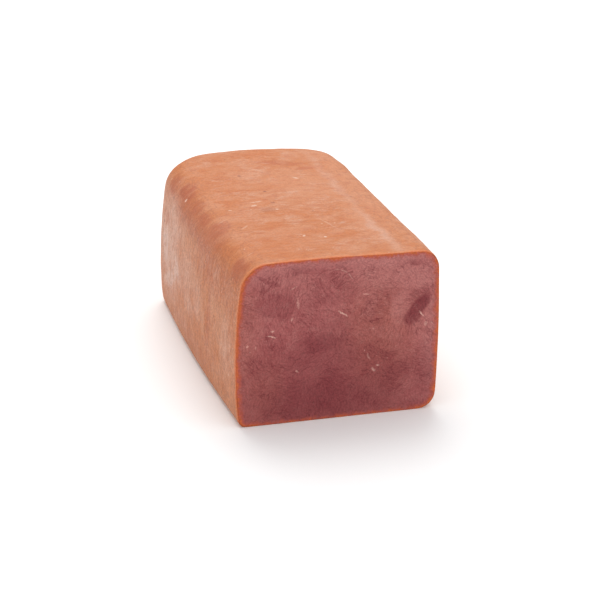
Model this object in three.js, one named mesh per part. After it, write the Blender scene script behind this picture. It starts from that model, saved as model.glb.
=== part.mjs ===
// A pressed and smoked loaf of beef round, cut across at one end.
// Millimetres, +Z up. X runs across the loaf and Y along it, with the cut face towards -Y.
// The origin is the middle of the base, where the loaf stands.

import * as THREE from 'three';
import { ImprovedNoise } from 'three/addons/math/ImprovedNoise.js';
import { mergeVertices } from 'three/addons/utils/BufferGeometryUtils.js';

// Driving sizes of the loaf
const WIDTH = 120;
const HEIGHT = 98;
const LENGTH = 216;

// Radii of the four long edges, as the cut face shows them
const TOP_LEFT_RADIUS = 15;
const TOP_RIGHT_RADIUS = 10;
const BASE_RIGHT_RADIUS = 10;
const BASE_LEFT_RADIUS = 4;

// The press leaves its walls slightly off square: each side draws in by its draft
// at the top, and bulges most a little below the middle of its height
const LEFT_DRAFT = 3;
const RIGHT_DRAFT = -0.5;
const LEFT_BULGE = 3.3;
const RIGHT_BULGE = 1.2;
const BULGE_PEAK = 0.43;
const TOP_CROWN = 1;

// Along the loaf the sides swell and the top sags, both most at mid length
const SIDE_SWELL = 2.7;
const TOP_SAG = 1.9;

// The closed end: its edges round over within the edge depth, by so much off each wall.
// A higher power keeps a wall straight for longer and then turns it down faster.
const EDGE_DEPTH = 16;
const SIDE_EDGE = { inset: 45, power: 2 };
const TOP_EDGE = { inset: 7.5, power: 4 };
const BASE_EDGE = { inset: 12, power: 2.5 };

// The end face is crowned from side to side, and less from base to top
const END_CROWN_ACROSS = 7;
const END_CROWN_UP = 3;
const BODY_LENGTH = LENGTH - EDGE_DEPTH - END_CROWN_ACROSS - END_CROWN_UP;

// The knife went through a little askew; the lean fades out along the loaf
const CUT_TURN = THREE.MathUtils.degToRad(-1.2);
const CUT_LEAN = THREE.MathUtils.degToRad(4.3);
const CUT_FADE_LENGTH = 0.8 * LENGTH;

// Soft unevenness of the skin, which leaves the base flat
const UNEVENNESS = 0.6;
const UNEVENNESS_WAVELENGTH = 46;
const UNEVENNESS_START = 6;
const UNEVENNESS_FULL = 22;

// How finely the surface is divided
const CORNER_STEPS = 6;
const UPRIGHT_STEPS = 12;
const LEVEL_STEPS = 14;
const BODY_STEPS = 22;
const EDGE_STEPS = 9;
const FACE_STEPS = 6;
const FACE_PATCH = 0.08;

// The section seen from the cut end, anticlockwise, as arcs joined by straight sides
function sectionOutline() {
  const half = WIDTH / 2;
  const corners = [
    { side: 1, top: 1, radius: TOP_RIGHT_RADIUS, start: 0, nextSteps: LEVEL_STEPS },
    { side: -1, top: 1, radius: TOP_LEFT_RADIUS, start: 0.5, nextSteps: UPRIGHT_STEPS },
    { side: -1, top: 0, radius: BASE_LEFT_RADIUS, start: 1, nextSteps: LEVEL_STEPS },
    { side: 1, top: 0, radius: BASE_RIGHT_RADIUS, start: 1.5, nextSteps: UPRIGHT_STEPS },
  ];
  const arcs = corners.map(({ side, top, radius, start }) => {
    const x = side * (half - radius);
    const z = top ? HEIGHT - radius : radius;
    return new THREE.EllipseCurve(x, z, radius, radius, start * Math.PI, (start + 0.5) * Math.PI);
  });
  return corners.flatMap(({ nextSteps }, i) => {
    const next = arcs[(i + 1) % arcs.length];
    const wall = new THREE.LineCurve(arcs[i].getPoint(1), next.getPoint(0));
    return [
      ...arcs[i].getPoints(CORNER_STEPS),
      ...wall.getPoints(nextSteps).slice(1, -1),
    ];
  });
}

// A smooth hump over 0 to 1, one high at its peak and nought at both ends
function hump(share, peak) {
  const skewed = Math.max(share, 0) ** (Math.log(0.5) / Math.log(peak));
  return 4 * skewed * (1 - skewed);
}

// What is left of a wall's half-size at a share of the way round the end's edge
function edgeShrink(share, edge, halfSize) {
  const roundedOff = 1 - (1 - share ** edge.power) ** (1 / edge.power);
  return 1 - (edge.inset / halfSize) * roundedOff;
}

// A ring of the prism: its place along the body, how far round the edge it has
// turned (0 to 1), and its size on the end face (1 at the rim, small in the middle)
function ringPlace(ring) {
  if (ring <= BODY_STEPS) {
    return { y: (BODY_LENGTH * ring) / BODY_STEPS, turned: 0, faceSize: 1 };
  }
  const edgeRing = Math.min(ring - BODY_STEPS, EDGE_STEPS);
  const faceRing = Math.max(ring - BODY_STEPS - EDGE_STEPS, 0);
  return {
    y: BODY_LENGTH,
    turned: Math.min(Math.sin((Math.PI / 2) * (edgeRing / EDGE_STEPS)), 1),
    faceSize: 1 - (1 - FACE_PATCH) * (faceRing / FACE_STEPS),
  };
}

// The section's own walls: draft and bulge across, crown on top
function pressedSection(x, z) {
  const across = x / (WIDTH / 2);
  const up = z / HEIGHT;
  const bulge = across < 0 ? LEFT_BULGE : RIGHT_BULGE;
  const draft = across < 0 ? LEFT_DRAFT : RIGHT_DRAFT;
  return {
    x: x + across * (bulge * hump(up, BULGE_PEAK) - draft * up),
    z: z + up * TOP_CROWN * (1 - across * across),
  };
}

// One point of the straight prism moved to its place on the loaf
function loafPoint(sectionX, sectionZ, ring) {
  const { y, turned, faceSize } = ringPlace(ring);
  const pressed = pressedSection(sectionX, sectionZ);
  const halfWidth = WIDTH / 2;
  const middle = HEIGHT / 2;
  const midLength = turned ? 0 : Math.sin((Math.PI * y) / BODY_LENGTH);

  const acrossFace = pressed.x * faceSize * edgeShrink(turned, SIDE_EDGE, halfWidth);
  const rise = pressed.z - middle;
  const riseOnFace = rise * faceSize
    * edgeShrink(turned, rise > 0 ? TOP_EDGE : BASE_EDGE, middle);

  const x = acrossFace * (1 + (midLength * SIDE_SWELL) / halfWidth);
  const sag = rise > 0 ? (midLength * TOP_SAG) / middle : 0;
  const z = middle + riseOnFace * (1 - sag);

  const crown = END_CROWN_ACROSS * (1 - (acrossFace / halfWidth) ** 2)
    + END_CROWN_UP * (1 - (riseOnFace / middle) ** 2);
  const along = y + turned * (EDGE_DEPTH + crown);
  const fade = Math.max(0, 1 - along / CUT_FADE_LENGTH);
  const askew = Math.tan(CUT_TURN) * x + Math.tan(CUT_LEAN) * (z - middle);
  return new THREE.Vector3(x, along + fade * askew, z);
}

// Moves a point out from or in to the loaf's long axis, by slow smooth noise
function roughen(point, noise) {
  const scale = 1 / UNEVENNESS_WAVELENGTH;
  const lift = noise.noise(point.x * scale, point.y * scale, point.z * scale);
  const keepFlat = THREE.MathUtils.smoothstep(point.z, UNEVENNESS_START, UNEVENNESS_FULL);
  const outward = new THREE.Vector3(point.x, 0, point.z - HEIGHT / 2).normalize();
  return point.addScaledVector(outward, UNEVENNESS * lift * keepFlat);
}

function loafGeometry() {
  const steps = BODY_STEPS + EDGE_STEPS + FACE_STEPS;
  const prism = new THREE.ExtrudeGeometry(new THREE.Shape(sectionOutline()), {
    depth: steps,
    steps,
    bevelEnabled: false,
  });
  prism.deleteAttribute('normal');
  prism.deleteAttribute('uv');
  const solid = mergeVertices(prism);
  const noise = new ImprovedNoise();
  const places = solid.getAttribute('position');
  for (let i = 0; i < places.count; i += 1) {
    const ring = steps - Math.round(places.getZ(i));
    const point = roughen(loafPoint(places.getX(i), places.getY(i), ring), noise);
    places.setXYZ(i, point.x, point.y, point.z);
  }
  solid.computeBoundingBox();
  const { min, max } = solid.boundingBox;
  solid.translate(-(min.x + max.x) / 2, -(min.y + max.y) / 2, -min.z);
  solid.computeVertexNormals();
  return solid;
}

const smokedBeef = new THREE.MeshStandardMaterial({
  color: '#c98a6c',
  roughness: 0.55,
  metalness: 0,
});

const loaf = new THREE.Mesh(loafGeometry(), smokedBeef);
loaf.name = 'loaf';

const group = new THREE.Group();
group.add(loaf);

export default group;
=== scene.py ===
# A pressed and smoked loaf of beef round with one end cut off flat, on a pale floor.
# Metres, +Z up. X runs across the loaf and Y along it, with the cut face towards -Y.
# Sizes of patterns and marks are given in millimetres of the real loaf.

import math

import bmesh
import bpy
from mathutils import Matrix, Vector, noise
from mathutils.bvhtree import BVHTree
from mathutils.kdtree import KDTree


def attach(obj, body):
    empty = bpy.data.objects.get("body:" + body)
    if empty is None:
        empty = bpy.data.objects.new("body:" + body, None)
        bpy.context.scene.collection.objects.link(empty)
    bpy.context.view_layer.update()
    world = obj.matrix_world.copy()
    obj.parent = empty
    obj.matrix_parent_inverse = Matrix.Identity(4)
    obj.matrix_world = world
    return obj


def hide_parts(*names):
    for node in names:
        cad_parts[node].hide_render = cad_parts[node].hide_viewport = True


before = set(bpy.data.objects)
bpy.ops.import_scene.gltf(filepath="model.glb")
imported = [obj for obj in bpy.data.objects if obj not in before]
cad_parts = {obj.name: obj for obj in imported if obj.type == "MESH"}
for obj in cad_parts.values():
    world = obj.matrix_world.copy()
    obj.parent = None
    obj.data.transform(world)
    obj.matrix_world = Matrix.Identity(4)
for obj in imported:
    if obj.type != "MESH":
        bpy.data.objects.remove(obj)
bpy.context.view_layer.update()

MM = 0.001

# The solid's own rings of points, counted from the cut rim to where its end face begins
BODY_RINGS = 22
EDGE_RINGS = 9

# Points of the ring between the middles of the rounded corners
POINTS_ACROSS = 20
POINTS_UP = 18

WELD = 0.001 * MM
FACING_OUT_OF_THE_CUT = -0.9
FLAT_ENOUGH_TO_JOIN = math.radians(40)
SMOOTH_LEVELS = 2
RIM_ROUNDING = 0.45 * MM
RIM_ROUNDING_STEPS = 2
RIM_SAMPLE_GAP = 0.25 * MM

# How far the real surfaces stand from the smooth form, in millimetres
SKIN_WAVES = 0.16
SKIN_FURROWS = 0.10
CUT_WAVES = 0.14
CUT_STEPS = 0.10
RELIEF_CLEAR_OF_RIM = 2.5
RELIEF_CLEAR_OF_BASE = (2.0, 12.0)

# How large the waves, the furrows and the pieces of muscle are, in millimetres
SKIN_WAVE_SIZE = 15
FURROW_LENGTH = 24
FURROW_WIDTH = 5
FURROW_BEND = 3
FURROW_BEND_SIZE = 20
CUT_WAVE_SIZE = 13
MUSCLE_SIZE = 21
MUSCLE_WANDER_SIZE = 9

# Shares of a piece of muscle: how far its outline wanders, and how wide the seam round it is
MUSCLE_WANDER = 0.3
SEAM_WIDTH = 0.12

# Swellings of the top right edge, in millimetres: each one's middle along the loaf, reach and height
SWOLLEN_EDGE_X = 58
SWOLLEN_EDGE_Z = 94
SWELL_WIDTH = 12
EDGE_SWELLS = [(64, 14, 0.85), (28, 22, 0.50), (-74, 26, 0.75)]

# The camera is a long lens, level with the eye of someone at the table
CAMERA_PLACE = (-0.30151, -0.95478, 0.45646)
CAMERA_TURN = math.radians(-18.079)
CAMERA_DOWN = math.radians(23.047)
CAMERA_ROLL = math.radians(1.687)
CAMERA_LENS = 102.0
CAMERA_SENSOR = 36.0

FLOOR_SIZE = 8.0
ROOM_LIGHT_LOW = 0.66
ROOM_LIGHT_HIGH = 1.06
OVERHEAD_LIGHT = {"place": (0.05, 0.85, 1.40), "aim": (0.0, 0.0, 0.06), "size": 1.2, "power": 12.0}


# Geometry of the loaf

def steps_from(start):
    """Counts for each point the edges between it and the nearest of the start points."""
    steps = dict.fromkeys(start, 0)
    front = list(start)
    while front:
        reached = []
        for vert in front:
            for edge in vert.link_edges:
                neighbour = edge.other_vert(vert)
                if neighbour not in steps:
                    steps[neighbour] = steps[vert] + 1
                    reached.append(neighbour)
        front = reached
    return steps


def open_ring(form):
    """The points of the one open ring of edges, in order, from its top right corner leftwards."""
    edges = [edge for edge in form.edges if edge.is_boundary]
    ring = [edges[0].verts[0]]
    edge = edges[0]
    while True:
        vert = edge.other_vert(ring[-1])
        if vert is ring[0]:
            break
        ring.append(vert)
        edge = next(e for e in vert.link_edges if e.is_boundary and e is not edge)
    middle = sum((vert.co for vert in ring), Vector()) / len(ring)
    size = Vector([max(abs(vert.co[i] - middle[i]) for vert in ring) for i in range(3)])
    corner = max(ring, key=lambda v: (v.co.x - middle.x) / size.x + (v.co.z - middle.z) / size.z)
    first = ring.index(corner)
    ring = ring[first:] + ring[:first]
    if ring[1].co.x > ring[-1].co.x:
        ring = ring[:1] + ring[:0:-1]
    return ring


def fill_with_quads(form):
    """Closes the open ring with a grid of quads and returns the new faces."""
    ring = open_ring(form)
    top = ring[:POINTS_ACROSS + 1]
    base_start = POINTS_ACROSS + POINTS_UP
    base = ring[base_start:base_start + POINTS_ACROSS + 1]
    rails = [form.edges.get(pair) for side in (top, base) for pair in zip(side, side[1:])]
    return bmesh.ops.grid_fill(form, edges=rails, use_smooth=True)["faces"]


def quad_form(node):
    """The solid's own surface as quads, with a grid of quads on the cut face and on the closed end."""
    solid = bmesh.new()
    solid.from_mesh(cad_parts[node].data)
    crease = solid.edges.layers.float.new("crease_edge")
    bmesh.ops.remove_doubles(solid, verts=solid.verts, dist=WELD)
    measured = BVHTree.FromBMesh(solid)

    cut = [face for face in solid.faces
           if face.normal.y < FACING_OUT_OF_THE_CUT and face.calc_center_median().y < 0]
    steps = steps_from({vert for face in cut for vert in face.verts})
    end_ring = BODY_RINGS + EDGE_RINGS
    end = [face for face in solid.faces if min(steps[vert] for vert in face.verts) >= end_ring]

    bmesh.ops.delete(solid, geom=cut, context="FACES")
    cut_faces = fill_with_quads(solid)
    rim = {edge for face in cut_faces for edge in face.edges if len(edge.link_faces) == 2
           and any(other not in cut_faces for other in edge.link_faces)}
    for edge in rim:
        edge[crease] = 1.0
    for face in cut_faces:
        face.material_index = 1

    bmesh.ops.delete(solid, geom=end, context="FACES")
    end_faces = fill_with_quads(solid)
    for vert in {vert for face in end_faces for vert in face.verts if not vert.is_boundary}:
        place = measured.ray_cast(vert.co + Vector((0, 0.1, 0)), Vector((0, -1, 0)))[0]
        if place:
            vert.co = place

    bmesh.ops.join_triangles(
        solid,
        faces=[face for face in solid.faces if len(face.verts) == 3],
        angle_face_threshold=FLAT_ENOUGH_TO_JOIN,
        angle_shape_threshold=FLAT_ENOUGH_TO_JOIN,
    )
    bmesh.ops.recalc_face_normals(solid, faces=solid.faces)
    return solid


def smoothed(form, levels):
    """The form after a subdivision surface, which keeps creased edges sharp."""
    mesh = bpy.data.meshes.new("coarse_form")
    form.to_mesh(mesh)
    form.free()
    holder = bpy.data.objects.new("coarse_form", mesh)
    bpy.context.scene.collection.objects.link(holder)
    smoothing = holder.modifiers.new("smooth", "SUBSURF")
    smoothing.levels = levels
    smoothing.render_levels = levels
    graph = bpy.context.evaluated_depsgraph_get()
    fine = bpy.data.meshes.new_from_object(holder.evaluated_get(graph))
    result = bmesh.new()
    result.from_mesh(fine)
    bpy.data.objects.remove(holder)
    bpy.data.meshes.remove(mesh)
    bpy.data.meshes.remove(fine)
    return result


def rim_edges(form):
    """The edges between the skin and the cut face."""
    return [edge for edge in form.edges
            if len({face.material_index for face in edge.link_faces}) == 2]


def points_along(edges, gap):
    """A search tree of points spread along the edges."""
    places = []
    for edge in edges:
        start, end = (vert.co for vert in edge.verts)
        count = max(1, math.ceil(edge.calc_length() / gap))
        places += [start.lerp(end, i / count) for i in range(count)]
    tree = KDTree(len(places))
    for index, place in enumerate(places):
        tree.insert(place, index)
    tree.balance()
    return tree


def smooth_share(value, low, high):
    """0 below low, 1 above high and an even bend between."""
    share = min(max((value - low) / (high - low), 0), 1)
    return share * share * (3 - 2 * share)


def edge_swell(place):
    """Height of the soft swellings along the top right edge, where the loaf filled its mould best."""
    from_edge = math.hypot(place.x - SWOLLEN_EDGE_X, place.z - SWOLLEN_EDGE_Z)
    along = sum(lift * math.exp(-((place.y - middle) / reach) ** 2) for middle, reach, lift in EDGE_SWELLS)
    return along * math.exp(-(from_edge / SWELL_WIDTH) ** 2)


def skin_relief(place):
    """Height of the skin over the smooth form: slow waves, furrows that run round the loaf, and swells."""
    waves = noise.fractal(place / SKIN_WAVE_SIZE + Vector((7.1, 2.3, 5.9)), 1.0, 2.0, 2)
    bend = FURROW_BEND * noise.noise(place / FURROW_BEND_SIZE)
    drawn = (place.x / FURROW_LENGTH, (place.y + bend) / FURROW_WIDTH, place.z / FURROW_LENGTH)
    furrow = noise.noise(Vector(drawn))
    return SKIN_WAVES * waves + SKIN_FURROWS * furrow + edge_swell(place)


def cut_relief(place):
    """Height of the cut face over its plane: the pieces of muscle spring back unevenly."""
    flat = Vector((place.x, 0, place.z))
    waves = noise.fractal(flat / CUT_WAVE_SIZE + Vector((3.7, 8.2, 1.4)), 1.0, 2.0, 2)
    wander = MUSCLE_WANDER * noise.noise_vector(flat / MUSCLE_WANDER_SIZE)
    near, far = noise.voronoi(flat / MUSCLE_SIZE + wander)[0][:2]
    seam = 1 - smooth_share(far - near, 0.0, SEAM_WIDTH)
    return CUT_WAVES * waves - CUT_STEPS * seam


def model_loaf():
    form = smoothed(quad_form("loaf"), SMOOTH_LEVELS)
    rim = rim_edges(form)
    rim_points = points_along(rim, RIM_SAMPLE_GAP)
    bmesh.ops.bevel(
        form,
        geom=rim,
        offset=RIM_ROUNDING,
        offset_type="OFFSET",
        segments=RIM_ROUNDING_STEPS,
        profile=0.5,
        affect="EDGES",
        material=-1,
    )
    form.normal_update()
    from_rim = form.verts.layers.float.new("from_rim")
    moves = []
    for vert in form.verts:
        distance = rim_points.find(vert.co)[2] / MM
        on_cut = all(face.material_index == 1 for face in vert.link_faces)
        vert[from_rim] = distance if on_cut else -distance
        place = vert.co / MM
        height = cut_relief(place) if on_cut else skin_relief(place)
        height *= smooth_share(distance, 0, RELIEF_CLEAR_OF_RIM)
        if not on_cut:
            height *= smooth_share(place.z, *RELIEF_CLEAR_OF_BASE)
        moves.append(vert.normal * height * MM)
    for vert, move in zip(form.verts, moves):
        vert.co += move
    for face in form.faces:
        face.smooth = True
    mesh = bpy.data.meshes.new("beef_loaf")
    form.to_mesh(mesh)
    form.free()
    piece = bpy.data.objects.new("beef_loaf", mesh)
    bpy.context.scene.collection.objects.link(piece)
    return piece


# Nodes

class Plan:
    """Lays out the nodes of one material or of one node group."""

    def __init__(self, tree):
        self.tree = tree

    def node(self, kind, label="", **settings):
        made = self.tree.nodes.new("ShaderNode" + kind)
        made.label = label
        for name, value in settings.items():
            setattr(made, name, value)
        return made

    def feed(self, socket, value):
        """Links a socket to another one, or gives it a plain value."""
        if isinstance(value, bpy.types.NodeSocket):
            self.tree.links.new(value, socket)
        else:
            socket.default_value = value

    def math(self, operation, a, b=0.0):
        made = self.node("Math", operation=operation)
        self.feed(made.inputs[0], a)
        self.feed(made.inputs[1], b)
        return made.outputs[0]

    def vector(self, operation, a, b=(0.0, 0.0, 0.0)):
        made = self.node("VectorMath", operation=operation)
        self.feed(made.inputs[0], a)
        self.feed(made.inputs[1], b)
        return made.outputs["Value" if operation == "LENGTH" else "Vector"]

    def scaled(self, vector, factor):
        made = self.node("VectorMath", operation="SCALE")
        self.feed(made.inputs[0], vector)
        self.feed(made.inputs["Scale"], factor)
        return made.outputs["Vector"]

    def parts(self, vector):
        made = self.node("SeparateXYZ")
        self.feed(made.inputs[0], vector)
        return made.outputs

    def joined(self, x=0.0, y=0.0, z=0.0):
        made = self.node("CombineXYZ")
        for socket, value in zip(made.inputs, (x, y, z)):
            self.feed(socket, value)
        return made.outputs[0]

    def ranged(self, value, low, high, start=0.0, end=1.0):
        """Takes low to high, with an even bend, over to start to end."""
        made = self.node("MapRange", interpolation_type="SMOOTHSTEP")
        for name, given in zip(("Value", "From Min", "From Max", "To Min", "To Max"),
                               (value, low, high, start, end)):
            self.feed(made.inputs[name], given)
        return made.outputs["Result"]

    def noise(self, vector, size, detail=2.0, roughness=0.5, label=""):
        """Even noise whose largest spots are of the size given in millimetres."""
        made = self.node("TexNoise", label)
        self.feed(made.inputs["Vector"], vector)
        self.feed(made.inputs["Scale"], 1 / size if isinstance(size, float) else size)
        made.inputs["Detail"].default_value = detail
        made.inputs["Roughness"].default_value = roughness
        return made.outputs

    def colour(self, factor, below, above, blend="MIX"):
        """Lays one colour over another by a factor."""
        made = self.node("Mix", data_type="RGBA", blend_type=blend)
        for socket, given in zip((made.inputs[0], made.inputs[6], made.inputs[7]),
                                 (factor, below, above)):
            self.feed(socket, given)
        return made.outputs[2]

    def group(self, tree, **values):
        made = self.node("Group", tree.name, node_tree=tree)
        for name, given in values.items():
            self.feed(made.inputs[name.replace("_", " ").capitalize()], given)
        return made.outputs


def new_group(name, inputs, outputs):
    """A node group with its sockets made, its given values and its results."""
    tree = bpy.data.node_groups.new(name, "ShaderNodeTree")
    for title, kind, value in inputs:
        socket = tree.interface.new_socket(title, in_out="INPUT", socket_type="NodeSocket" + kind)
        socket.default_value = value
    for title in outputs:
        tree.interface.new_socket(title, in_out="OUTPUT", socket_type="NodeSocketFloat")
    given = tree.nodes.new("NodeGroupInput").outputs
    results = tree.nodes.new("NodeGroupOutput").inputs
    return Plan(tree), given, results


def streaks_group():
    """Drawn-out noise that wanders: soft streaks, and the hair-thin wisps between them, from 0 to 1."""
    plan, given, results = new_group("drawn out streaks", [
        ("Place", "Vector", (0, 0, 0)),
        ("Streak size", "Vector", (20, 2, 20)),
        ("Wander", "Float", 3.0),
        ("Wander size", "Float", 20.0),
    ], ("Streaks", "Wisps"))
    slow = plan.math("DIVIDE", 1.0, given["Wander size"])
    bend = plan.vector("SUBTRACT", plan.noise(given["Place"], slow, 2.0)["Color"], (0.5, 0.5, 0.5))
    bent = plan.vector("ADD", given["Place"], plan.scaled(bend, given["Wander"]))
    drawn = plan.vector("DIVIDE", bent, given["Streak size"])
    height = plan.noise(drawn, 1.0, 3.0, 0.6)["Fac"]
    plan.feed(results["Streaks"], height)
    from_ridge = plan.math("ABSOLUTE", plan.math("SUBTRACT", height, 0.5))
    plan.feed(results["Wisps"], plan.ranged(from_ridge, 0.035, 0.0))
    return plan.tree


def patch_group():
    """An oval patch, 1 inside and 0 outside, which fades by its softness either side of its outline."""
    plan, given, results = new_group("soft patch", [
        ("Place", "Vector", (0, 0, 0)),
        ("Centre", "Vector", (0, 0, 0)),
        ("Turn", "Vector", (0, 0, 0)),
        ("Size", "Vector", (10, 10, 10)),
        ("Softness", "Float", 0.5),
    ], ("Mask",))
    laid = plan.node("Mapping", vector_type="TEXTURE")
    plan.feed(laid.inputs["Vector"], given["Place"])
    plan.feed(laid.inputs["Location"], given["Centre"])
    plan.feed(laid.inputs["Rotation"], given["Turn"])
    plan.feed(laid.inputs["Scale"], given["Size"])
    reach = plan.vector("LENGTH", laid.outputs["Vector"])
    outer = plan.math("ADD", 1.0, given["Softness"])
    inner = plan.math("SUBTRACT", 1.0, given["Softness"])
    plan.feed(results["Mask"], plan.ranged(reach, outer, inner))
    return plan.tree


def specks_group():
    """Small round specks strewn by chance, of uneven size, 1 inside and 0 outside."""
    plan, given, results = new_group("scattered specks", [
        ("Place", "Vector", (0, 0, 0)),
        ("Spacing", "Float", 8.0),
        ("Size", "Float", 1.0),
        ("Share", "Float", 0.3),
    ], ("Mask",))
    cells = plan.node("TexVoronoi")
    plan.feed(cells.inputs["Vector"], given["Place"])
    plan.feed(cells.inputs["Scale"], plan.math("DIVIDE", 1.0, given["Spacing"]))
    draw = plan.node("SeparateColor")
    plan.feed(draw.inputs[0], cells.outputs["Color"])
    reach = plan.math("MULTIPLY", cells.outputs["Distance"], given["Spacing"])
    outline = plan.math("MULTIPLY", given["Size"], plan.ranged(draw.outputs["Green"], 0, 1, 0.5, 1.2))
    speck = plan.ranged(plan.math("DIVIDE", reach, outline), 1.3, 0.6)
    chosen = plan.math("LESS_THAN", draw.outputs["Red"], given["Share"])
    plan.feed(results["Mask"], plan.math("MULTIPLY", speck, chosen))
    return plan.tree


def new_material(name):
    material = bpy.data.materials.new(name)
    material.use_nodes = True
    material.node_tree.nodes.clear()
    plan = Plan(material.node_tree)
    shader = plan.node("BsdfPrincipled")
    output = plan.node("OutputMaterial")
    plan.feed(output.inputs["Surface"], shader.outputs["BSDF"])
    return material, plan, shader


def place_in_mm(plan):
    return plan.scaled(plan.node("TexCoord").outputs["Object"], 1 / MM)


def wobbled(plan, place, size, reach):
    """The place moved about by noise, which roughens the outline of what is drawn there."""
    shift = plan.vector("SUBTRACT", plan.noise(place, size, 3.0, 0.6)["Color"], (0.5, 0.5, 0.5))
    return plan.vector("ADD", place, plan.scaled(shift, 2 * reach))


def bumped(plan, shader, heights):
    """Adds up heights, each with its depth in millimetres, as one bump."""
    total = 0.0
    for height, depth in heights:
        total = plan.math("ADD", plan.math("MULTIPLY", height, depth), total)
    bump = plan.node("Bump")
    bump.inputs["Distance"].default_value = MM
    plan.feed(bump.inputs["Height"], total)
    plan.feed(shader.inputs["Normal"], bump.outputs["Normal"])


def marked(plan, place, marks, softness):
    """One mask for a list of oval marks, the strongest at each place. Their names are for the reader."""
    total = 0.0
    for _, centre, turn, size, strength in marks:
        mask = plan.group(
            PATCH,
            place=place,
            centre=centre,
            turn=tuple(math.radians(angle) for angle in turn),
            size=size,
            softness=softness,
        )["Mask"]
        total = plan.math("MAXIMUM", plan.math("MULTIPLY", mask, strength), total)
    return total


def on_top(name, x, y, along, across, turn, strength):
    """A mark on the loaf's top: its middle, half sizes and turn from the X axis."""
    return name, (x, y, TOP_HEIGHT), (0, 0, turn), (along, across, MARK_DEPTH), strength


def on_left_wall(name, y, z, along, across, turn, strength):
    """A mark on the left wall: its middle, half sizes and turn from the Y axis."""
    return name, (LEFT_WALL, y, z), (turn, 0, 0), (MARK_DEPTH, along, across), strength


def on_cut(name, x, z, along, across, turn, strength):
    """A mark on the cut face, drawn flat: its middle, half sizes and turn from the X axis."""
    return name, (x, z, 0), (0, 0, turn), (along, across, MARK_DEPTH), strength


STREAKS = streaks_group()
PATCH = patch_group()
SPECKS = specks_group()

# Where the marks lie on the top and on the left wall, and half their size through the surface
TOP_HEIGHT = 97
LEFT_WALL = -62
MARK_DEPTH = 14

# Colours of the smoked skin
SKIN_TAN = (0.516, 0.187, 0.076, 1)
SKIN_PALE = (0.566, 0.240, 0.126, 1)
# Pale bloom colour, also laid on the far left wall as a painted sheen
SKIN_BLOOM_AND_SHEEN = (0.655, 0.455, 0.380, 1)
SKIN_WARM = (0.516, 0.167, 0.058, 1)
# Red of stains, also laid along the top left edge as painted shade
SKIN_RED_AND_SHADE = (0.408, 0.110, 0.053, 1)
SKIN_BROWN = (0.288, 0.098, 0.058, 1)
SKIN_EDGE = (0.648, 0.218, 0.088, 1)
SKIN_FLECK = (0.800, 0.600, 0.480, 1)
SKIN_SHEEN = 0.15

SKIN_CLOUDS = [
    on_top("pink cloud", 18, 16, 24, 28, 0, 0.60),
    on_top("pale front right", 37, -48, 9, 46, 0, 0.75),
    on_top("pale far left", -14, 55, 16, 22, 0, 0.4),
    on_top("pink cloud, far part", 16, 40, 24, 17, 0, 0.65),
    on_top("right edge", 50, 22, 7, 75, 0, 0.80),
    on_top("pale slanting streak", -22, -60, 18, 4, -50, 0.50),
    on_top("pale by the middle", -20, 4, 10, 8, 20, 0.35),
    on_left_wall("near wall", -88, 45, 16, 26, 0, 0.45),
    on_left_wall("low near wall", -70, 18, 22, 9, 0, 0.3),
]
SKIN_GLOWS = [
    on_top("front left", -30, -72, 24, 20, 0, 0.65),
    on_top("left", -34, 42, 14, 26, 0, 0.40),
    on_top("far red", 8, 74, 13, 7, -10, 0.40),
    on_top("left of the middle", -32, -18, 12, 15, 0, 0.45),
    on_left_wall("near the cut", -98, 62, 9, 40, 0, 0.60),
    on_left_wall("red band", -50, 34, 6, 28, 4, 0.55),
    on_left_wall("above the middle", -45, 70, 12, 14, 0, 0.40),
    on_left_wall("low middle", -25, 28, 12, 12, 0, 0.30),
]
# Pale blooms on the left wall, partly painted sheen: the whitish veil on the far wall stands in for light
# glancing off the skin
SKIN_BLOOMS_AND_SHEEN = [
    on_left_wall("far wall", 56, 54, 28, 32, -10, 0.55),
    on_left_wall("far wall, brightest", 66, 50, 9, 15, -10, 0.95),
    on_left_wall("bright spot", 33, 46, 9, 10, 0, 0.85),
    on_left_wall("near bright spot", -24, 47, 9, 12, 0, 0.30),
    on_left_wall("slanting streak", 54, 30, 23, 6, -27, 0.80),
    on_left_wall("middle of the wall", 12, 50, 26, 14, -15, 0.32),
    on_left_wall("below the middle", -2, 36, 12, 8, 0, 0.30),
    on_left_wall("upper far wall", 40, 70, 22, 10, -10, 0.40),
    on_left_wall("near wall", -88, 42, 13, 20, 0, 0.25),
]
# Red stains; the first two, along the top left edge, are painted shade where the rounded shoulder turns
# from the light, partly stain
SKIN_STAINS_AND_SHADE = [
    ("left edge", (-58, -2, 87), (0, 0, 0), (7, 62, 9), 0.62),
    ("left edge above", (-55, -2, 92), (0, 0, 0), (4, 58, 4), 0.35),
    on_top("red streak", 30, 56, 7, 3, 5, 0.50),
    on_top("far red streak", 14, 70, 15, 4, -15, 0.45),
    on_left_wall("red band", -50, 45, 4, 26, 6, 0.35),
    on_left_wall("upper near wall", -60, 78, 46, 12, 0, 0.35),
    on_left_wall("red foot", -5, 12, 44, 7, 0, 0.30),
    on_left_wall("brown by the end", 68, 68, 6, 4, 20, 0.40),
]
# Blotches along the top left edge: painted shade where the shoulder turns from the light, partly smoke
# stain
EDGE_SHADE_AND_STAINS = [
    ("far corner", (-56, 66, 91), (0, 0, 0), (6, 8, 6), 0.62),
    ("far part", (-54, 42, 93), (0, 0, 0), (7, 12, 5), 0.80),
    ("beyond the middle", (-53, 14, 93), (0, 0, 0), (5, 7, 5), 0.42),
    ("middle", (-54, -6, 92), (0, 0, 0), (4, 8, 4), 0.40),
    ("before the middle", (-52, -30, 94), (0, 0, 0), (7, 11, 5), 0.58),
    ("near part", (-51, -46, 93), (0, 0, 0), (4, 6, 4), 0.22),
    ("near corner", (-54, -88, 90), (0, 0, 0), (7, 11, 7), 0.74),
]
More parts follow.
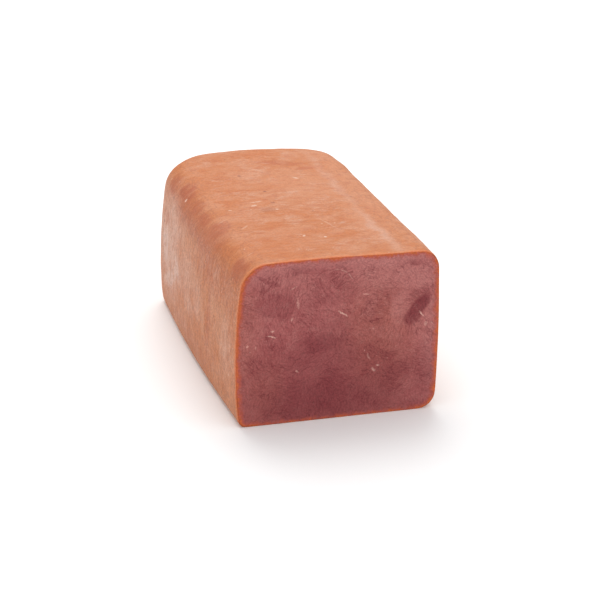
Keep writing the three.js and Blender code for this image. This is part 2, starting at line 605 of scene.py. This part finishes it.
SKIN_PITS = [
    on_top("deep pit", -8.5, 21.1, 0.9, 1.1, 0, 1.0),
    on_top("far pit", -16.8, 51.1, 1.2, 1.4, 0, 0.6),
    on_top("middle pit", -9.7, 0.0, 1.2, 1.3, 0, 0.5),
    on_top("brown smudge", -16, -12, 5, 4, 0, 0.3),
    on_left_wall("pit under the far edge", 56, 85, 1.4, 1.2, 0, 0.7),
    on_left_wall("pit by the end", 76, 62, 1.6, 1.3, 0, 0.7),
]
SKIN_FLECKS = [
    on_top("middle fleck", -22.5, -2.4, 2.0, 0.9, 20, 0.6),
    on_top("left fleck", -38.9, -6.6, 1.2, 0.7, 0, 0.55),
    on_top("fleck before the middle", -10.2, -12.3, 1.0, 0.9, 0, 0.6),
    on_top("far right fleck", 17.9, 40.2, 2.2, 1.0, -40, 0.4),
    on_top("near fleck", 3.4, -65.9, 0.8, 0.8, 0, 0.9),
    on_top("near left fleck", -8.1, -60.8, 1.6, 0.7, 60, 0.6),
    on_top("left scratch", -47.9, -22.3, 3.2, 0.5, 25, 0.20),
    on_top("near left scratch", -38.2, -37.5, 4.0, 0.6, 45, 0.25),
    on_top("scratch by the cut", -46.5, -80.1, 2.6, 0.5, 30, 0.20),
    on_top("middle scratch", -19.4, 3.7, 4.0, 0.8, 15, 0.4),
    on_top("long scratch", 12.5, -43.0, 10.5, 0.5, -76, 0.20),
    ("fleck on the left edge", (-56.6, 34.5, 90.4), (0, 0, 0), (1.1, 1.1, 1.1), 0.7),
]
SKIN_CREASES = [
    on_top("crease of the mould, near", 38.5, -60, 2.8, 36, 0, 0.26),
    on_top("crease of the mould, far", 39.5, 30, 3.4, 52, 0, 0.17),
]


def smoked_skin():
    material, plan, shader = new_material("smoked skin")
    place = place_in_mm(plan)
    across, length, height = plan.parts(place)
    bulging = wobbled(plan, place, 10.0, 4.5)
    rough = wobbled(plan, wobbled(plan, place, 20.0, 6.0), 5.0, 2.2)
    closely = wobbled(plan, wobbled(plan, place, 6.0, 1.2), 1.6, 0.4)

    clouds = plan.noise(place, 34.0, 3.0, 0.55, "slow clouds of tone")["Fac"]
    stretched = plan.vector("MULTIPLY", wobbled(plan, place, 8.0, 3.0), (0.75, 1.1, 0.5))
    patches = plan.noise(stretched, 13.0, 5.0, 0.6, "patches of smoke")["Fac"]
    where_streaky = plan.noise(place, 17.0, 2.0, 0.5, "where it is streaky")["Fac"]
    streaky = plan.ranged(where_streaky, 0.44, 0.62, 0.10, 0.9)
    shoulder = plan.math("MULTIPLY", plan.ranged(plan.math("ABSOLUTE", across), 36.0, 46.0),
                         plan.ranged(height, 74.0, 84.0))
    streaky = plan.math("MULTIPLY", streaky, plan.ranged(shoulder, 0.0, 1.0, 1, 0.1))
    streaky = plan.math("MULTIPLY", streaky, plan.ranged(length, 104.0, 92.0, 0.15, 1))
    fine_streaky = plan.math("MULTIPLY", streaky, plan.ranged(height, 90.0, 60.0, 1, 0.85))
    streaky = plan.math("MULTIPLY", streaky, plan.ranged(height, 90.0, 60.0, 1, 0.28))
    mottle = plan.noise(plan.vector("MULTIPLY", place, (0.7, 1.1, 0.5)), 5.0, 4.0, 0.65, "mottle")["Fac"]
    grain = plan.noise(place, 1.2, 2.0, 0.6, "grain")["Fac"]
    upright = plan.vector("MULTIPLY", wobbled(plan, place, 5.0, 0.8), (0.9, 1.0, 0.40))
    strokes = plan.noise(upright, 1.5, 3.0, 0.6, "short strokes")["Fac"]
    broad = plan.group(STREAKS, place=wobbled(plan, place, 4.0, 0.9), streak_size=(9, 2.4, 9),
                       wander=15.0, wander_size=24.0)
    fine = plan.group(STREAKS, place=wobbled(plan, place, 3.0, 0.6), streak_size=(4.2, 0.9, 3.0),
                      wander=7.0, wander_size=10.0)
    along = plan.group(STREAKS, place=place, streak_size=(9, 24, 1.5), wander=5.0, wander_size=30.0)

    colour = plan.colour(plan.ranged(clouds, 0.50, 0.68, 0, 0.8), SKIN_TAN, SKIN_PALE)
    colour = plan.colour(plan.ranged(clouds, 0.50, 0.34, 0, 0.8), colour, SKIN_WARM)
    colour = plan.colour(plan.ranged(patches, 0.51, 0.57, 0, 0.60), colour, SKIN_PALE)
    colour = plan.colour(plan.ranged(patches, 0.48, 0.41, 0, 0.60), colour, SKIN_WARM)
    colour = plan.colour(marked(plan, rough, SKIN_CLOUDS, 0.7), colour, SKIN_PALE)
    colour = plan.colour(marked(plan, rough, SKIN_GLOWS, 0.7), colour, SKIN_WARM)
    # Pale blooms, with painted sheen on the far left wall
    blooms_and_sheen = plan.math("MULTIPLY", marked(plan, rough, SKIN_BLOOMS_AND_SHEEN, 0.65),
                       plan.ranged(mottle, 0.3, 0.6, 0.35, 1))
    colour = plan.colour(blooms_and_sheen, colour, SKIN_BLOOM_AND_SHEEN)
    # Red stains and, along the top left edge, painted shade
    colour = plan.colour(marked(plan, rough, SKIN_STAINS_AND_SHADE, 0.55), colour, SKIN_RED_AND_SHADE)
    # Painted shade in blotches along the top left edge, partly stain
    colour = plan.colour(marked(plan, bulging, EDGE_SHADE_AND_STAINS, 0.36), colour, SKIN_RED_AND_SHADE)
    colour = plan.colour(plan.ranged(mottle, 0.50, 0.66, 0, 0.35), colour, SKIN_PALE)
    colour = plan.colour(plan.ranged(mottle, 0.48, 0.34, 0, 0.30), colour, SKIN_RED_AND_SHADE)
    dark_streaks = plan.math("MULTIPLY", plan.ranged(broad["Streaks"], 0.48, 0.30, 0, 0.38), streaky)
    light_streaks = plan.math("MULTIPLY", plan.ranged(broad["Streaks"], 0.54, 0.70, 0, 0.35), streaky)
    colour = plan.colour(dark_streaks, colour, SKIN_RED_AND_SHADE)
    colour = plan.colour(light_streaks, colour, SKIN_BLOOM_AND_SHEEN)
    wisps = plan.math("MULTIPLY", broad["Wisps"], plan.ranged(mottle, 0.46, 0.60, 0, 0.40))
    colour = plan.colour(plan.math("MULTIPLY", wisps, streaky), colour, SKIN_BLOOM_AND_SHEEN)
    fine_dark = plan.math("MULTIPLY", plan.ranged(fine["Streaks"], 0.46, 0.30, 0, 0.28), fine_streaky)
    fine_light = plan.math("MULTIPLY", plan.ranged(fine["Streaks"], 0.56, 0.72, 0, 0.24), fine_streaky)
    colour = plan.colour(fine_dark, colour, SKIN_BROWN)
    colour = plan.colour(fine_light, colour, SKIN_BLOOM_AND_SHEEN)
    on_walls = plan.ranged(height, 94.0, 80.0)
    colour = plan.colour(plan.math("MULTIPLY", plan.ranged(strokes, 0.47, 0.35, 0, 0.50), on_walls),
                         colour, SKIN_BROWN)
    colour = plan.colour(plan.math("MULTIPLY", plan.ranged(strokes, 0.56, 0.68, 0, 0.22), on_walls),
                         colour, SKIN_BLOOM_AND_SHEEN)
    colour = plan.colour(plan.math("MULTIPLY", along["Wisps"], plan.ranged(shoulder, 0.0, 1.0, 0, 0.25)),
                         colour, SKIN_BROWN)
    colour = plan.colour(marked(plan, rough, SKIN_CREASES, 0.8), colour, SKIN_BLOOM_AND_SHEEN)
    strewn = plan.group(SPECKS, place=closely, spacing=7.0, size=0.5, share=0.4)["Mask"]
    pits = plan.group(SPECKS, place=plan.vector("ADD", closely, (31.0, 17.0, 5.0)), spacing=10.0, size=0.6,
                      share=0.35)["Mask"]
    colour = plan.colour(plan.math("MULTIPLY", strewn, 0.40), colour, SKIN_FLECK)
    colour = plan.colour(plan.math("MULTIPLY", pits, 0.5), colour, SKIN_BROWN)
    colour = plan.colour(marked(plan, closely, SKIN_PITS, 0.5), colour, SKIN_BROWN)
    colour = plan.colour(marked(plan, closely, SKIN_FLECKS, 0.5), colour, SKIN_FLECK)
    rim = plan.node("Attribute", attribute_name="from_rim").outputs["Fac"]
    uneven = plan.math("ADD", rim, plan.ranged(mottle, 0.3, 0.7, -1.3, 1.3))
    colour = plan.colour(plan.ranged(uneven, -4.4, -1.0, 0, 0.75), colour, SKIN_EDGE)
    colour = plan.colour(plan.ranged(uneven, -1.4, -0.4, 0, 0.65), colour, RIND)
    grainy = plan.math("MULTIPLY", plan.ranged(grain, 0.3, 0.7, -1, 1),
                       plan.ranged(on_walls, 0, 1, 0.085, 0.15))
    tone = plan.math("ADD", grainy, 1.0)
    colour = plan.colour(1.0, colour, plan.joined(tone, tone, tone), "MULTIPLY")
    plan.feed(shader.inputs["Base Color"], colour)
    plan.feed(shader.inputs["Roughness"], plan.ranged(broad["Streaks"], 0.3, 0.7, 0.54, 0.44))
    shader.inputs["Specular IOR Level"].default_value = SKIN_SHEEN
    bumped(plan, shader, [(plan.math("MULTIPLY", broad["Streaks"], streaky), 0.30), (patches, 0.30),
                          (fine["Streaks"], 0.06), (mottle, 0.15), (grain, 0.06), (pits, -0.25)])
    return material


# Colours of the cut meat
MEAT = (0.375, 0.098, 0.096, 1)
# Dark meat, also laid low on the cut face as painted shade
MEAT_DARK_AND_SHADE = (0.175, 0.022, 0.030, 1)
# Pale meat, also laid on the upper right of the face as painted light
MEAT_PALE_AND_LIT = (0.515, 0.193, 0.176, 1)
MEAT_FAT = (0.775, 0.435, 0.365, 1)
MEAT_BROWN = (0.395, 0.115, 0.081, 1)
RIND = (0.560, 0.125, 0.045, 1)
RIND_INSIDE = (0.495, 0.103, 0.065, 1)
MEAT_SHEEN = 0.15

# Darker pieces of meat, and painted shade over the low middle and foot of the face, as if slices lying in
# front shaded it
DARK_MEAT_AND_SHADE = [
    on_cut("middle", -10, 47, 14, 7, -8, 0.58),
    on_cut("centre", -2, 56, 12, 8, 0, 0.26),
    on_cut("middle, right part", 2, 45, 12, 6, -15, 0.29),
    on_cut("middle low", -4, 36, 38, 15, 0, 0.40),
    on_cut("low right spot", 30, 36, 6, 5, 0, 0.52),
    on_cut("low right", 27, 26, 21, 11, 0, 0.45),
    on_cut("by the left rim", -59, 29, 3, 4, 0, 0.43),
    on_cut("left of the middle", -42, 34, 15, 12, 0, 0.29),
    on_cut("low band", -8, 14, 46, 17, 0, 0.59),
    on_cut("low left", -20, 18, 26, 8, 0, 0.40),
    on_cut("whole foot", 0, 4, 70, 14, 0, 0.25),
    on_cut("low right corner", 53, 24, 10, 13, 0, 0.32),
]
CLEAR_MUSCLES = [
    on_cut("left muscle", -38, 73, 11.9, 7.1, 8, 0.26),
    on_cut("left muscle, right part", -33.0, 71, 5.7, 6.65, 0, 0.33),
    on_cut("top spot", -23.5, 94, 6.65, 3.32, 0, 0.35),
    on_cut("round muscle", -4, 80, 12.8, 9.97, 0, 0.12),
    on_cut("round muscle, right part", 5, 80, 7.6, 8.55, 0, 0.18),
    on_cut("right muscle, brown end", 49.5, 72.5, 6.65, 3.8, 10, 0.28),
    on_cut("right muscle", 49.0, 64.5, 10.4, 4.37, 54, 0.72),
    on_cut("right muscle, foot", 45.0, 58.5, 5.22, 4.75, 30, 0.63),
    on_cut("right brown", 31, 76, 5.7, 6.65, 0, 0.09),
    on_cut("left sinew", -43.5, 88.0, 8.55, 1.04, -27, 0.40),
    on_cut("left sinew, thick part", -39.5, 86.0, 3.42, 1.61, -30, 0.35),
    on_cut("left sinew branch", -42, 84.0, 2.66, 0.95, 60, 0.25),
    on_cut("short line", 24.3, 59.8, 4.37, 0.76, 14, 0.40),
    on_cut("under the top", 46, 92.6, 4.75, 1.52, 0, 0.31),
]
# Paler pieces of meat; the upper right of the face is partly painted light, as if lit from the right
PALE_MEAT_AND_PAINTED_LIGHT = [
    on_cut("upper right", 28, 88, 24, 11, -6, 0.56),
    on_cut("far upper right", 46, 84, 14, 9, -6, 0.63),
    on_cut("right of the round muscle", 19, 73, 5, 13, 0, 0.28),
    on_cut("left of the right muscle", 38, 67, 6, 12, -10, 0.45),
    on_cut("right side", 57, 42, 5, 26, 0, 0.42),
    on_cut("left side", -54, 70, 6, 28, 0, 0.14),
    on_cut("below the right muscle", 50, 50, 6, 8, 30, 0.24),
    on_cut("top left", -38, 91, 18, 8, 0, 0.35),
    on_cut("between the muscles", -22, 84, 6, 12, 10, 0.32),
    on_cut("under the left muscle", -42, 57, 10, 4, 0, 0.08),
]
FAT_FLECKS = [
    on_cut("bright streak", 2.5, 64.5, 3.14, 0.45, -34, 0.92),
    on_cut("left dot", -40, 57.4, 1.21, 0.56, 0, 0.87),
    on_cut("left streak", -40.4, 54.3, 2.75, 0.36, -12, 0.83),
    on_cut("streak in the right muscle", 50.9, 60.4, 1.94, 0.36, -44, 0.83),
    on_cut("right dots", 53.8, 54, 0.95, 1.29, 20, 0.43),
    on_cut("low right fleck", 21.8, 28.4, 1.53, 0.65, -45, 0.59),
    on_cut("low right dot", 24.4, 30.6, 0.81, 0.65, 0, 0.54),
    on_cut("low left fleck", -25.2, 31.6, 1.37, 0.45, -50, 0.47),
    on_cut("upright group", 18.6, 36.6, 0.57, 1.94, 20, 0.35),
    on_cut("short level streak", 16.6, 75.3, 2.26, 0.40, -6, 0.39),
    on_cut("upper left wisp", -27.2, 82.6, 1.94, 0.40, 18, 0.35),
    on_cut("arc, left end", -1.4, 91.8, 1.9, 0.40, 0, 0.28),
    on_cut("arc, middle", 3, 90.2, 2.18, 0.36, -26, 0.39),
    on_cut("arc, right end", 6.6, 87, 1.94, 0.36, -50, 0.39),
    on_cut("upright streak", -24.4, 73, 0.67, 3.07, 4, 0.31),
    on_cut("far left dot", -55, 49.8, 0.76, 0.65, 0, 0.47),
]
SEAMS = [
    on_cut("loop, middle part", -10.9, 84.0, 3.6, 0.40, -70, 0.41),
    on_cut("loop, lower part", -7.2, 77.0, 3.6, 0.40, -58, 0.41),
    on_cut("loop, upper part", -11.5, 90.0, 3.5, 0.4, 35, 0.36),
    on_cut("fan", -40.5, 37.5, 4.6, 0.4, -62, 0.36),
]
BROWN_PARTS = [
    on_cut("right of the middle", 26, 54, 20, 34, 0, 0.52),
    on_cut("left foot", -48, 22, 14, 20, 0, 0.35),
    on_cut("left side", -58, 55, 9, 40, 0, 0.42),
]
SPECKED_PARTS = [on_cut("right of the middle", 22, 43, 11, 13, 30, 1.0)]


def cut_meat():
    material, plan, shader = new_material("cut meat")
    place = plan.parts(place_in_mm(plan))
    flat = plan.joined(place["X"], place["Z"])
    rough = wobbled(plan, wobbled(plan, flat, 11.0, 3.5), 3.0, 1.0)
    ragged = wobbled(plan, wobbled(plan, flat, 8.0, 2.2), 2.5, 0.8)
    closely = wobbled(plan, wobbled(plan, flat, 6.0, 1.5), 1.5, 0.3)

    muscles = plan.node("TexVoronoi", "pieces of muscle", voronoi_dimensions="2D")
    plan.feed(muscles.inputs["Vector"], wobbled(plan, flat, 16.0, 5.0))
    muscles.inputs["Scale"].default_value = 1 / 22
    draw = plan.node("SeparateColor")
    plan.feed(draw.inputs[0], muscles.outputs["Color"])
    turned = plan.node("VectorRotate", rotation_type="Z_AXIS")
    plan.feed(turned.inputs["Vector"], flat)
    plan.feed(turned.inputs["Angle"], plan.math("MULTIPLY", draw.outputs["Green"], math.pi))
    fibres = plan.group(STREAKS, place=wobbled(plan, turned.outputs[0], 2.5, 0.4),
                        streak_size=(4.2, 1.1, 4), wander=6.0, wander_size=10.0)
    cracks = plan.group(STREAKS, place=turned.outputs[0], streak_size=(8, 2.6, 8),
                        wander=10.0, wander_size=9.0)
    speck_place = plan.vector("MULTIPLY", wobbled(plan, turned.outputs[0], 1.5, 0.3), (0.5, 1.0, 1.0))
    grain = plan.noise(flat, 1.2, 3.0, 0.7, "grain")["Fac"]
    mottle = plan.noise(flat, 5.0, 4.0, 0.65, "mottle")["Fac"]
    shifted = plan.vector("ADD", flat, (37.0, 21.0, 0.0))
    blotches = plan.noise(wobbled(plan, shifted, 6.0, 2.0), 13.0, 3.0, 0.5, "blotches")["Fac"]
    clouds = plan.noise(shifted, 24.0, 3.0, 0.6, "slow clouds of tone")["Fac"]

    # Dark meat and painted shade, heaviest low in the middle of the face
    darkness_and_shade = marked(plan, rough, DARK_MEAT_AND_SHADE, 0.7)
    away_from_dark_and_shade = plan.ranged(darkness_and_shade, 0.05, 0.45, 1, 0.2)

    colour = plan.colour(plan.math("MULTIPLY", draw.outputs["Red"], 0.22), MEAT, MEAT_PALE_AND_LIT)
    colour = plan.colour(marked(plan, rough, BROWN_PARTS, 0.8), colour, MEAT_BROWN)
    colour = plan.colour(plan.ranged(clouds, 0.52, 0.30, 0, 0.18), colour, MEAT_DARK_AND_SHADE)
    colour = plan.colour(plan.ranged(clouds, 0.52, 0.72, 0, 0.18), colour, MEAT_PALE_AND_LIT)
    colour = plan.colour(plan.ranged(blotches, 0.50, 0.62, 0, 0.12), colour, MEAT_PALE_AND_LIT)
    colour = plan.colour(plan.ranged(blotches, 0.48, 0.36, 0, 0.12), colour, MEAT_DARK_AND_SHADE)
    # Paler meat, with painted light on the upper right of the face
    colour = plan.colour(marked(plan, rough, PALE_MEAT_AND_PAINTED_LIGHT, 0.6), colour, MEAT_PALE_AND_LIT)
    pale_mottle = plan.ranged(mottle, 0.52, 0.70, 0, 0.12)
    colour = plan.colour(plan.math("MULTIPLY", pale_mottle, away_from_dark_and_shade), colour, MEAT_PALE_AND_LIT)
    pale_fibres = plan.ranged(fibres["Streaks"], 0.52, 0.70, 0, 0.26)
    colour = plan.colour(plan.math("MULTIPLY", pale_fibres, away_from_dark_and_shade), colour, MEAT_PALE_AND_LIT)
    colour = plan.colour(darkness_and_shade, colour, MEAT_DARK_AND_SHADE)
    colour = plan.colour(marked(plan, ragged, CLEAR_MUSCLES, 0.25), colour, MEAT_DARK_AND_SHADE)
    colour = plan.colour(plan.ranged(mottle, 0.48, 0.30, 0, 0.12), colour, MEAT_DARK_AND_SHADE)
    colour = plan.colour(plan.ranged(fibres["Streaks"], 0.48, 0.30, 0, 0.26), colour, MEAT_DARK_AND_SHADE)
    cracked = plan.ranged(blotches, 0.52, 0.42, 0, 0.50)
    colour = plan.colour(plan.math("MULTIPLY", cracks["Wisps"], cracked), colour, MEAT_DARK_AND_SHADE)
    wispy = plan.math("MULTIPLY", plan.ranged(mottle, 0.45, 0.62, 0, 0.16), away_from_dark_and_shade)
    colour = plan.colour(plan.math("MULTIPLY", fibres["Wisps"], wispy), colour, MEAT_FAT)
    strewn = plan.group(SPECKS, place=speck_place, spacing=6.0, size=0.45, share=0.5)["Mask"]
    crowded = plan.group(SPECKS, place=closely, spacing=3.2, size=0.45, share=0.6)["Mask"]
    crowded = plan.math("MULTIPLY", crowded, marked(plan, rough, SPECKED_PARTS, 0.6))
    strewn = plan.math("MULTIPLY", strewn, away_from_dark_and_shade)
    strewn = plan.math("MULTIPLY", plan.math("MAXIMUM", strewn, crowded), 0.38)
    colour = plan.colour(strewn, colour, MEAT_FAT)
    colour = plan.colour(marked(plan, closely, SEAMS, 0.6), colour, MEAT_DARK_AND_SHADE)
    flecks = plan.math("MULTIPLY", marked(plan, closely, FAT_FLECKS, 0.5),
                       plan.ranged(grain, 0.35, 0.6, 0.5, 1))
    colour = plan.colour(flecks, colour, MEAT_FAT)

    rim = plan.node("Attribute", attribute_name="from_rim").outputs["Fac"]
    uneven = plan.math("ADD", plan.math("ADD", rim, plan.ranged(mottle, 0.3, 0.7, -1.0, 1.0)),
                       plan.ranged(grain, 0.3, 0.7, -0.5, 0.5))
    side = plan.ranged(plan.math("ABSOLUTE", place["X"]), 40.0, 60.0)
    rind = plan.math("ADD", plan.math("MULTIPLY", side, 0.75), 0.8)
    inside = plan.math("ADD", plan.math("ADD", rind, 2.2), plan.ranged(place["X"], 45.0, 60.0, 0, 0.8))
    under_top = plan.math("MULTIPLY", plan.ranged(rim, 9.0, 2.0),
                          plan.ranged(place["Z"], 82.0, 94.0, 0, 0.55))
    colour = plan.colour(under_top, colour, MEAT_PALE_AND_LIT)
    colour = plan.colour(plan.ranged(uneven, inside, rind, 0, 0.80), colour, RIND_INSIDE)
    colour = plan.colour(plan.ranged(uneven, rind, plan.math("MULTIPLY", rind, 0.6)), colour, RIND)
    tone = plan.math("MULTIPLY", plan.ranged(grain, 0.3, 0.7, 0.84, 1.16),
                     plan.ranged(fibres["Streaks"], 0.3, 0.7, 0.95, 1.05))
    colour = plan.colour(1.0, colour, plan.joined(tone, tone, tone), "MULTIPLY")
    plan.feed(shader.inputs["Base Color"], colour)
    plan.feed(shader.inputs["Roughness"], plan.ranged(mottle, 0.3, 0.7, 0.52, 0.42))
    shader.inputs["Specular IOR Level"].default_value = MEAT_SHEEN
    bumped(plan, shader, [(fibres["Streaks"], 0.18), (cracks["Wisps"], -0.10), (grain, 0.05)])
    return material


def pale_floor():
    material, plan, shader = new_material("pale floor")
    tone = plan.noise(place_in_mm(plan), 400.0)["Fac"]
    colour = plan.colour(tone, (0.93, 0.93, 0.93, 1), (0.96, 0.96, 0.96, 1))
    plan.feed(shader.inputs["Base Color"], colour)
    shader.inputs["Roughness"].default_value = 0.6
    return material


# The scene

def make_floor():
    form = bmesh.new()
    bmesh.ops.create_grid(form, x_segments=1, y_segments=1, size=FLOOR_SIZE / 2)
    mesh = bpy.data.meshes.new("floor")
    form.to_mesh(mesh)
    form.free()
    floor = bpy.data.objects.new("floor", mesh)
    bpy.context.scene.collection.objects.link(floor)
    mesh.materials.append(pale_floor())
    return floor


def make_camera():
    data = bpy.data.cameras.new("camera")
    data.lens = CAMERA_LENS
    data.sensor_width = CAMERA_SENSOR
    data.clip_start = 0.05
    camera = bpy.data.objects.new("camera", data)
    turn = Matrix.Rotation(CAMERA_TURN, 4, "Z")
    tilt = Matrix.Rotation(math.pi / 2 - CAMERA_DOWN, 4, "X")
    roll = Matrix.Rotation(CAMERA_ROLL, 4, "Z")
    camera.matrix_world = Matrix.Translation(CAMERA_PLACE) @ turn @ tilt @ roll
    bpy.context.scene.collection.objects.link(camera)
    bpy.context.scene.camera = camera


def make_light(name, place, aim, size, power):
    data = bpy.data.lights.new(name, "AREA")
    data.shape = "DISK"
    data.size = size
    data.energy = power
    light = bpy.data.objects.new(name, data)
    light.location = place
    light.rotation_euler = (Vector(aim) - Vector(place)).to_track_quat("-Z", "Y").to_euler()
    bpy.context.scene.collection.objects.link(light)


def make_room_light():
    """White light from all round, dimmer near the horizon than overhead."""
    world = bpy.data.worlds.new("room")
    world.use_nodes = True
    background = world.node_tree.nodes["Background"]
    background.inputs["Color"].default_value = (1, 1, 1, 1)
    plan = Plan(world.node_tree)
    height = plan.parts(plan.node("TexCoord").outputs["Generated"])["Z"]
    strength = plan.ranged(height, 0.0, 1.0, ROOM_LIGHT_LOW, ROOM_LIGHT_HIGH)
    plan.feed(background.inputs["Strength"], strength)
    bpy.context.scene.world = world


loaf = model_loaf()
loaf.data.materials.append(smoked_skin())
loaf.data.materials.append(cut_meat())
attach(loaf, "root")
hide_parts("loaf")

make_floor()
make_camera()
make_light("overhead", **OVERHEAD_LIGHT)
make_room_light()
bpy.context.scene.view_settings.view_transform = "Standard"
